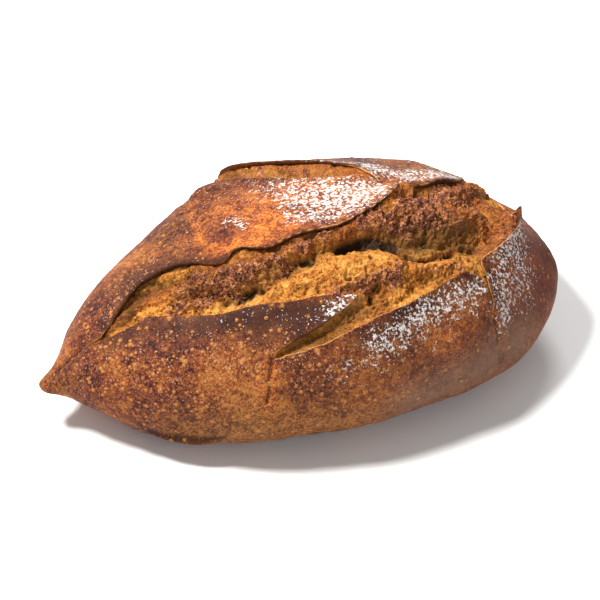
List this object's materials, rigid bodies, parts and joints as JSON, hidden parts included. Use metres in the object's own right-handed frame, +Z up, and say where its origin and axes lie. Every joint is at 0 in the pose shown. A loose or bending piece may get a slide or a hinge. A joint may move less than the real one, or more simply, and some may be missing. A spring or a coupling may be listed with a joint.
{
  "type": "sourdough loaf",
  "caption": "Torpedo-shaped sourdough loaf with a blistered dark crust burst open along diagonal slashes, showing torn crumb, curled crust edges and dusted flour.",
  "frame": {"origin": "under the middle of the loaf's bounding box, on the surface it rests on", "axes": "+X along the loaf from its pointed end to its blunt end, +Y to the back, away from the large burst, +Z up"},
  "size_m": [0.2998, 0.1822, 0.1048],
  "materials": {
    "baked_crust": "matt to satin baked crust, golden brown to dark brown"
  },
  "bodies": {
    "root": {"loaf": "baked_crust"}
  },
  "joints": []
}
